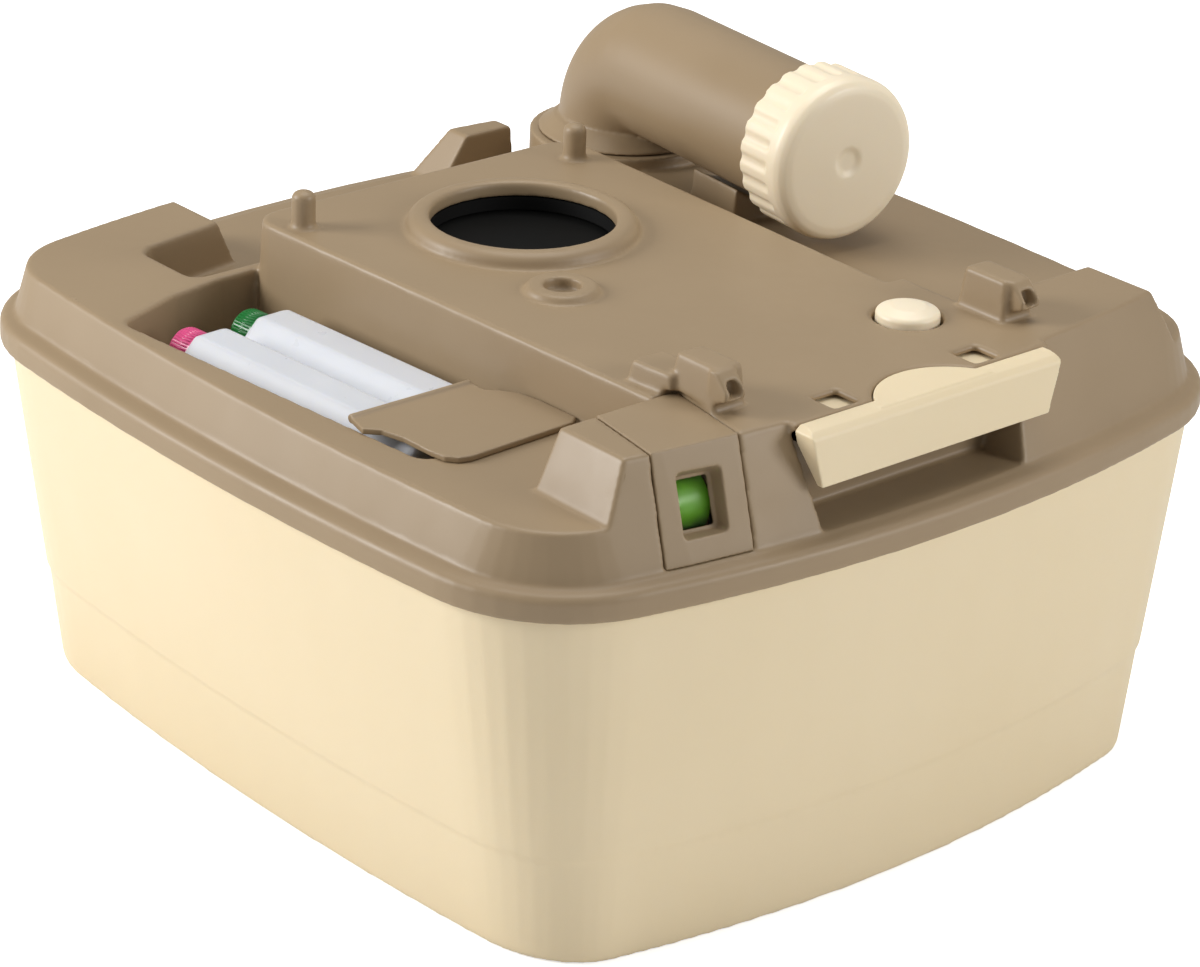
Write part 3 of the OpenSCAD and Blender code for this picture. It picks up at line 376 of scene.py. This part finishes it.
@dataclass(frozen=True)
class RibRing:
    """Gripping ribs round a bottle's cap, made by Geometry Nodes.

    Args:
        name: The piece's name.
        body: The CAD body it rides on.
        slot: The record's material slot; not used.
        finish: Its finish.
        across_mm: The bottle's place across the bay, from the bay's middle line.
        count: How many ribs go round.
        ring_mm: Radius of the ring of ribs.
        rib_mm: Radius of one rib.
        long_mm: Length of a rib.
    """

    name: str
    body: str
    slot: str
    finish: Finish
    across_mm: float
    count: int = 40
    ring_mm: float = 8.35
    rib_mm: float = 0.42
    long_mm: float = 8.6

    rib_sides = 10
    # Typed from the CAD: the middle of the bay, its turn in degrees, and the caps' place along
    # the bay and above the floor.
    bay_mid_mm = -127.767
    bay_turn = 3.16583
    middle_mm = 68.0
    level_mm = 162.8

    def tree(self) -> tuple[bpy.types.NodeTree, dict[str, str]]:
        """Builds the node tree and gives its inputs' identifiers by name."""
        tree = bpy.data.node_groups.new(self.name + "_ribs", "GeometryNodeTree")
        kinds = {"Count": "NodeSocketInt", "Ring": "NodeSocketFloat", "Rib": "NodeSocketFloat",
                 "Length": "NodeSocketFloat", "Place": "NodeSocketVector",
                 "Turn": "NodeSocketVector", "Material": "NodeSocketMaterial"}
        names = {n: tree.interface.new_socket(name=n, in_out="INPUT", socket_type=k).identifier
                 for n, k in kinds.items()}
        tree.interface.new_socket(
            name="Geometry", in_out="OUTPUT", socket_type="NodeSocketGeometry")
        given = add_node(tree, "NodeGroupInput").outputs
        ring = add_node(tree, "GeometryNodeMeshCircle", {
            "Vertices": given["Count"], "Radius": given["Ring"]}, fill_type="NONE")
        rib = add_node(tree, "GeometryNodeMeshCylinder", {
            "Vertices": self.rib_sides, "Radius": given["Rib"], "Depth": given["Length"]},
            fill_type="NGON")
        round_cap = add_node(tree, "GeometryNodeInstanceOnPoints", {
            "Points": ring.outputs[0], "Instance": rib.outputs[0]})
        real = add_node(tree, "GeometryNodeRealizeInstances", {"Geometry": round_cap.outputs[0]})
        placed = add_node(tree, "GeometryNodeTransform", {
            "Geometry": real.outputs[0], "Translation": given["Place"], "Rotation": given["Turn"]})
        dressed = add_node(tree, "GeometryNodeSetMaterial", {
            "Geometry": placed.outputs[0], "Material": given["Material"]})
        add_node(tree, "NodeGroupOutput", {0: dressed.outputs[0]})
        return tree, names

    def build(self) -> bpy.types.Object:
        """Sets the inputs, evaluates the tree and keeps its mesh."""
        tree, names = self.tree()
        piece = bpy.data.objects.new(self.name, bpy.data.meshes.new(self.name))
        bpy.context.scene.collection.objects.link(piece)
        turn = math.radians(self.bay_turn)
        place = (self.bay_mid_mm + self.across_mm * math.cos(turn) - self.middle_mm * math.sin(turn),
                 self.across_mm * math.sin(turn) + self.middle_mm * math.cos(turn), self.level_mm)
        values = {"Count": self.count, "Ring": self.ring_mm * MM, "Rib": self.rib_mm * MM,
                  "Length": self.long_mm * MM, "Place": [v * MM for v in place],
                  "Turn": [-math.pi / 2, 0.0, turn], "Material": self.finish.value.material()}
        ribs = piece.modifiers.new("ribs", "NODES")
        ribs.node_group = tree
        for name, value in values.items():
            ribs[names[name]] = value
        with_modifiers(piece)
        return settle(piece, self.finish, self.body)


@dataclass
class CarriedOver:
    """CAD nodes that keep their shape, with their finishes.

    Args:
        finishes: Each node's name and its finish.
    """

    finishes: dict[str, Finish] = field(default_factory=dict)

    def build(self) -> None:
        """Gives each node its finish."""
        for name, finish in self.finishes.items():
            put_material(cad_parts[name], finish)
            LOG.info("%s: CAD node kept", name)


# The tank's top is one moulding, held by five CAD nodes that meet at these planes. Their places
# are typed from the CAD, and each seam reaches past the moulding's edge where it has one.
TOP_NODES = ("top_front", "top_left", "top_middle", "top_right", "top_rear")
TOP_SEAMS = (
    Seam((-200, -108), (200, -108)),
    Seam((-200, 112), (200, 112)),
    Seam((-93.77, -108), (-101.452, 112)),
    Seam((73.5, -108), (73.5, 112)),
    Seam((73.5, 112), (80, 150.2)),
    Seam((80, 150.2), (97, 166.2)),
    Seam((97, 166.2), (97, 300)),
)


@dataclass(frozen=True)
class Softbox:
    """A square soft lamp that faces the tank.

    Args:
        name: Its name.
        place_m: Where it stands, in metres.
        side_m: Its side, in metres.
        watts: Its power.
    """

    name: str
    place_m: tuple[float, float, float]
    side_m: float
    watts: float

    aim_m = (0.0, 0.0, 0.1)

    def build(self) -> None:
        """Adds the lamp."""
        light = bpy.data.lights.new(self.name, "AREA")
        light.shape = "SQUARE"
        light.size = self.side_m
        light.energy = self.watts
        holder = bpy.data.objects.new(self.name, light)
        holder.location = self.place_m
        aim = Vector(self.aim_m) - Vector(self.place_m)
        holder.rotation_mode = "QUATERNION"
        holder.rotation_quaternion = aim.to_track_quat("-Z", "Y")
        bpy.context.scene.collection.objects.link(holder)


class Studio:
    """Camera at the photograph's view, soft lamps, pale floor and world."""

    photo_px = (1200.0, 967.0)
    focal_px = 4007.5
    centre_px = (556.3, 468.7)
    azimuth = -40.75
    elevation = 24.02
    roll = 1.92
    distance_mm = 1607.6
    target_mm = (-11.0, 8.8, 98.9)
    sensor_mm = 36.0
    nearest_m = 0.05

    softboxes = (
        Softbox("left_softbox", (-1.7, 1.3, 1.0), 1.0, 44.0),
        Softbox("top_softbox", (0.3, 0.2, 1.9), 1.3, 17.0),
        Softbox("right_softbox", (1.0, -1.9, 0.95), 0.8, 19.0),
    )
    fill_light = 0.31

    floor_m = 8.0
    floor_drop_m = 0.0005
    paper = (0.86, 0.86, 0.86, 1)
    paper_glow = 0.62

    def camera(self) -> None:
        """Places the camera that was solved from the photograph's outline."""
        a, e, r = (math.radians(v) for v in (self.azimuth, self.elevation, self.roll))
        back = Vector((math.sin(a) * math.cos(e), -math.cos(a) * math.cos(e), math.sin(e)))
        right = Vector((math.cos(a), math.sin(a), 0.0))
        up = back.cross(right)
        across = right * math.cos(r) + up * math.sin(r)
        upward = up * math.cos(r) - right * math.sin(r)
        wide, high = self.photo_px
        lens = bpy.data.cameras.new("camera")
        lens.sensor_fit = "HORIZONTAL"
        lens.sensor_width = self.sensor_mm
        lens.lens = self.focal_px * self.sensor_mm / wide
        lens.shift_x = (wide / 2 - self.centre_px[0]) / wide
        lens.shift_y = (self.centre_px[1] - high / 2) / wide
        lens.clip_start = self.nearest_m
        holder = bpy.data.objects.new("camera", lens)
        place = (Vector(self.target_mm) + back * self.distance_mm) * MM
        turn = Matrix((across, upward, back)).transposed().to_4x4()
        holder.matrix_world = Matrix.Translation(place) @ turn
        bpy.context.scene.collection.objects.link(holder)
        bpy.context.scene.camera = holder

    def world(self) -> None:
        """White behind the tank and through its window, and an even soft light on the tank."""
        made = bpy.data.worlds.new("studio")
        bpy.context.scene.world = made
        tree = fresh_tree(made)
        path = add_node(tree, "ShaderNodeLightPath")
        seen = add_node(tree, "ShaderNodeMath", {
            0: path.outputs["Is Camera Ray"], 1: path.outputs["Is Transmission Ray"]},
            operation="MAXIMUM")
        fill = add_node(tree, "ShaderNodeBackground", {
            "Color": PLAIN_WHITE, "Strength": self.fill_light})
        white = add_node(tree, "ShaderNodeBackground", {"Color": PLAIN_WHITE, "Strength": 1.0})
        mixed = add_node(tree, "ShaderNodeMixShader", {
            0: seen.outputs[0], 1: fill.outputs[0], 2: white.outputs[0]})
        add_node(tree, "ShaderNodeOutputWorld", {0: mixed.outputs[0]})

    def floor(self) -> None:
        """A wide pale floor that keeps the tank's shadow and else meets the white behind it."""
        bpy.ops.mesh.primitive_plane_add(
            size=self.floor_m, location=(0.0, 0.0, -self.floor_drop_m))
        floor = bpy.context.object
        floor.name = "studio_floor"
        made = bpy.data.materials.new("paper_floor_matt")
        tree = fresh_tree(made)
        path = add_node(tree, "ShaderNodeLightPath")
        paper = add_node(tree, "ShaderNodeBsdfDiffuse", {"Color": self.paper})
        glow = add_node(tree, "ShaderNodeEmission", {
            "Color": PLAIN_WHITE, "Strength": self.paper_glow})
        lit = add_node(tree, "ShaderNodeAddShader", {0: paper.outputs[0], 1: glow.outputs[0]})
        mixed = add_node(tree, "ShaderNodeMixShader", {
            0: path.outputs["Is Camera Ray"], 1: paper.outputs[0], 2: lit.outputs[0]})
        add_node(tree, "ShaderNodeOutputMaterial", {0: mixed.outputs[0]})
        floor.data.materials.append(made)

    def build(self) -> None:
        """Sets the whole studio."""
        self.camera()
        self.world()
        for softbox in self.softboxes:
            softbox.build()
        self.floor()
        bpy.context.scene.view_settings.view_transform = "Standard"


SOFTENED = (
    SoftenedCopy(TOP_NODES, "tank", "brown_moulding", Finish.BROWN,
                 voxel_mm=0.9, passes=6, most=190000, seams=TOP_SEAMS),
    SoftenedCopy(("tank_base",), "tank", "cream_moulding", Finish.CREAM,
                 voxel_mm=1.2, passes=6, most=120000),
    SoftenedCopy(("valve_handle",), "valve", "cream_moulding", Finish.CREAM,
                 voxel_mm=0.4, passes=6, most=60000),
    SoftenedCopy(("indicator_bezel",), "tank", "brown_moulding", Finish.BROWN,
                 voxel_mm=0.4, passes=4, most=60000),
    SoftenedCopy(("bottle_clip",), "tank", "brown_moulding", Finish.BROWN,
                 voxel_mm=0.4, passes=6, most=60000),
    SoftenedCopy(("spout_elbow",), "spout", "brown_moulding", Finish.BROWN,
                 voxel_mm=0.8, passes=6, most=120000),
    SoftenedCopy(("spout_cap",), "cap", "cream_moulding", Finish.CREAM_SMOOTH_PAINTED_LIGHT,
                 voxel_mm=0.5, passes=16, most=90000),
    SoftenedCopy(("bottle_a",), "bottle_a_body", "white_bottle", Finish.BOTTLE,
                 voxel_mm=0.5, passes=12, most=60000),
    SoftenedCopy(("bottle_b",), "bottle_b_body", "white_bottle", Finish.BOTTLE,
                 voxel_mm=0.5, passes=12, most=60000),
    SoftenedCopy(("bottle_cap_a",), "cap_a_body", "pink_cap", Finish.PINK,
                 voxel_mm=0.3, passes=5, most=30000),
    SoftenedCopy(("bottle_cap_b",), "cap_b_body", "green_cap", Finish.DARK_GREEN,
                 voxel_mm=0.3, passes=5, most=30000),
    SoftenedCopy(("vent_button",), "vent", "cream_moulding", Finish.CREAM_SMOOTH_PAINTED_LIGHT,
                 voxel_mm=0.3, passes=5, most=40000),
)
RIBS = (
    RibRing("bottle_cap_a_ribs", "cap_a_body", "pink_cap", Finish.PINK, across_mm=-15.266),
    RibRing("bottle_cap_b_ribs", "cap_b_body", "green_cap", Finish.DARK_GREEN, across_mm=15.266),
)
KEPT_NODES = CarriedOver({
    "inlet_seal": Finish.RUBBER, "blade_guide": Finish.BLACK, "valve_blade": Finish.BLACK,
    "vent_spring": Finish.STEEL, "vent_stem": Finish.CREAM_SMOOTH_PAINTED_LIGHT, "vent_washer": Finish.RUBBER,
    "indicator_lens": Finish.WINDOW, "indicator_flag": Finish.GREEN, "float_arm": Finish.WHITE,
    "float_bulb": Finish.WHITE, "pivot_pin": Finish.STEEL, "spout_ring": Finish.BLACK,
    "spout_oring": Finish.RUBBER, "cap_gasket": Finish.RUBBER,
})


def main() -> None:
    """Builds the studio, then the pieces in order."""
    logging.basicConfig(level=logging.INFO)
    Studio().build()
    for moulding in SOFTENED:
        moulding.build()
    for ring in RIBS:
        ring.build()
    KEPT_NODES.build()


if __name__ == "__main__":
    main()
